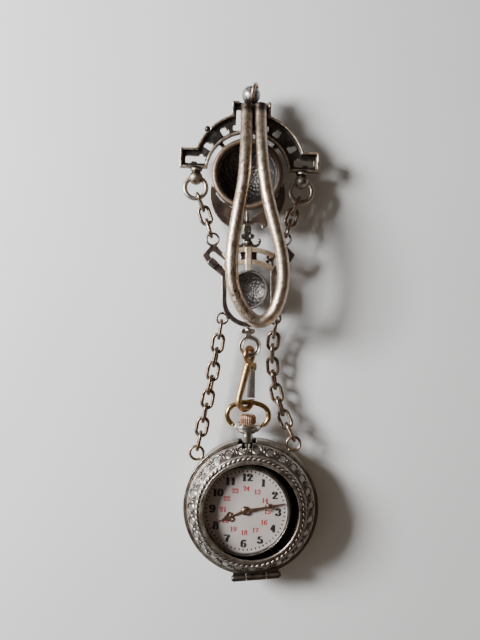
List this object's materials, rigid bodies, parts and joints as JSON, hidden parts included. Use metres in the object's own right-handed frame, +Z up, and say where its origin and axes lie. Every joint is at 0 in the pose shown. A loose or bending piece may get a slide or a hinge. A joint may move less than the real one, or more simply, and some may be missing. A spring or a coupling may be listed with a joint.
{
  "type": "chatelaine watch pin",
  "caption": "Chatelaine pin lying back up: pierced plaque with a belt hook, chains and a snap hook that carry a pocket watch in its hinged holder.",
  "frame": {"origin": "bottom centre of the bounding box, on the surface that the pin lies on", "axes": "+Y from the watch to the finial along the pin, +Z up through the belt hook, +X to the right as the belt hook is seen"},
  "size_m": [0.0374, 0.1326, 0.0167],
  "materials": {
    "dark_plate": "antique silver plate, dark in the recesses and worn bright on its edges",
    "brown_plate": "smooth brown patina",
    "worn_silver": "antique silver, worn and slightly pitted",
    "polished_silver": "polished silver with light wear",
    "chain_silver": "antique silver with bronze tints",
    "pale_wire": "worn champagne-silver plate with dark pits and brass showing through",
    "brass_tone": "worn yellow brass",
    "copper_tone": "worn copper",
    "clear_crystal": "clear polished glass",
    "white_enamel": "glossy white enamel with printed numerals"
  },
  "bodies": {
    "pin_and_holder": {"upper_frame": "dark_plate", "lower_frame": "dark_plate", "scroll_link": "dark_plate", "crescent_plate": "brown_plate", "medallion": "worn_silver", "rosette": "worn_silver", "top_ring": "copper_tone", "cross_bars": "brass_tone", "belt_hook": "pale_wire", "left_arm_ring": "worn_silver", "right_arm_ring": "worn_silver", "drop_eye": "worn_silver", "snap_hook": "brass_tone", "gate_pin": "worn_silver", "holder_shell": "worn_silver", "hinge_pin": "brass_tone", "watch_case": "polished_silver", "watch_bezel": "brass_tone", "crystal": "clear_crystal", "dial": "white_enamel", "watch_bow": "brass_tone", "upper_left_link_1": "chain_silver", "upper_left_link_2": "chain_silver", "upper_left_link_3": "chain_silver", "upper_right_link_1": "chain_silver", "upper_right_link_2": "chain_silver", "upper_right_link_3": "chain_silver", "lower_left_link_1": "chain_silver", "lower_left_link_2": "chain_silver", "lower_left_link_3": "chain_silver", "lower_left_link_4": "chain_silver", "lower_left_link_5": "chain_silver", "lower_left_link_6": "chain_silver", "lower_left_link_7": "chain_silver", "lower_left_link_8": "chain_silver", "lower_left_link_9": "chain_silver", "lower_right_link_1": "chain_silver", "lower_right_link_2": "chain_silver", "lower_right_link_3": "chain_silver", "lower_right_link_4": "chain_silver", "lower_right_link_5": "chain_silver", "lower_right_link_6": "chain_silver", "lower_right_link_7": "chain_silver", "lower_right_link_8": "chain_silver", "lower_right_link_9": "chain_silver"},
    "lid": {"holder_lid": "worn_silver"},
    "gate": {"snap_gate": "worn_silver"},
    "crown": {"crown": "copper_tone"},
    "hour": {"hour_hand": "copper_tone"},
    "minute": {"minute_hand": "copper_tone"}
  },
  "joints": [
    {"name": "lid_hinge", "type": "hinge", "parent": "pin_and_holder", "child": "lid", "pos_m": [0.00172, -0.06489, 0.0082], "axis": [0.9969, 0.0785, 0], "range_deg": [0, 110]},
    {"name": "gate_pivot", "type": "hinge", "parent": "pin_and_holder", "child": "gate", "pos_m": [0.00074, -0.0097, 0.0054], "axis": [-0.6884, 0, -0.7254], "range_deg": [0, 12], "stiffness_Nm_per_rad": 0.004, "springref_deg": -17.19},
    {"name": "crown_spin", "type": "hinge", "parent": "pin_and_holder", "child": "crown", "pos_m": [-0.00049, -0.02446, 0.0072], "axis": [0.0297, 0.9996, 0], "continuous": true},
    {"name": "minute_turn", "type": "hinge", "parent": "pin_and_holder", "child": "minute", "pos_m": [-0.00117, -0.04709, 0.0095], "axis": [0, 0, -1], "continuous": true},
    {"name": "hour_turn", "type": "hinge", "parent": "pin_and_holder", "child": "hour", "pos_m": [-0.00117, -0.04709, 0.0091], "axis": [0, 0, -1], "continuous": true}
  ],
  "couplings": [
    {"joint": "hour_turn", "follows": "minute_turn", "ratio": 0.083333}
  ]
}
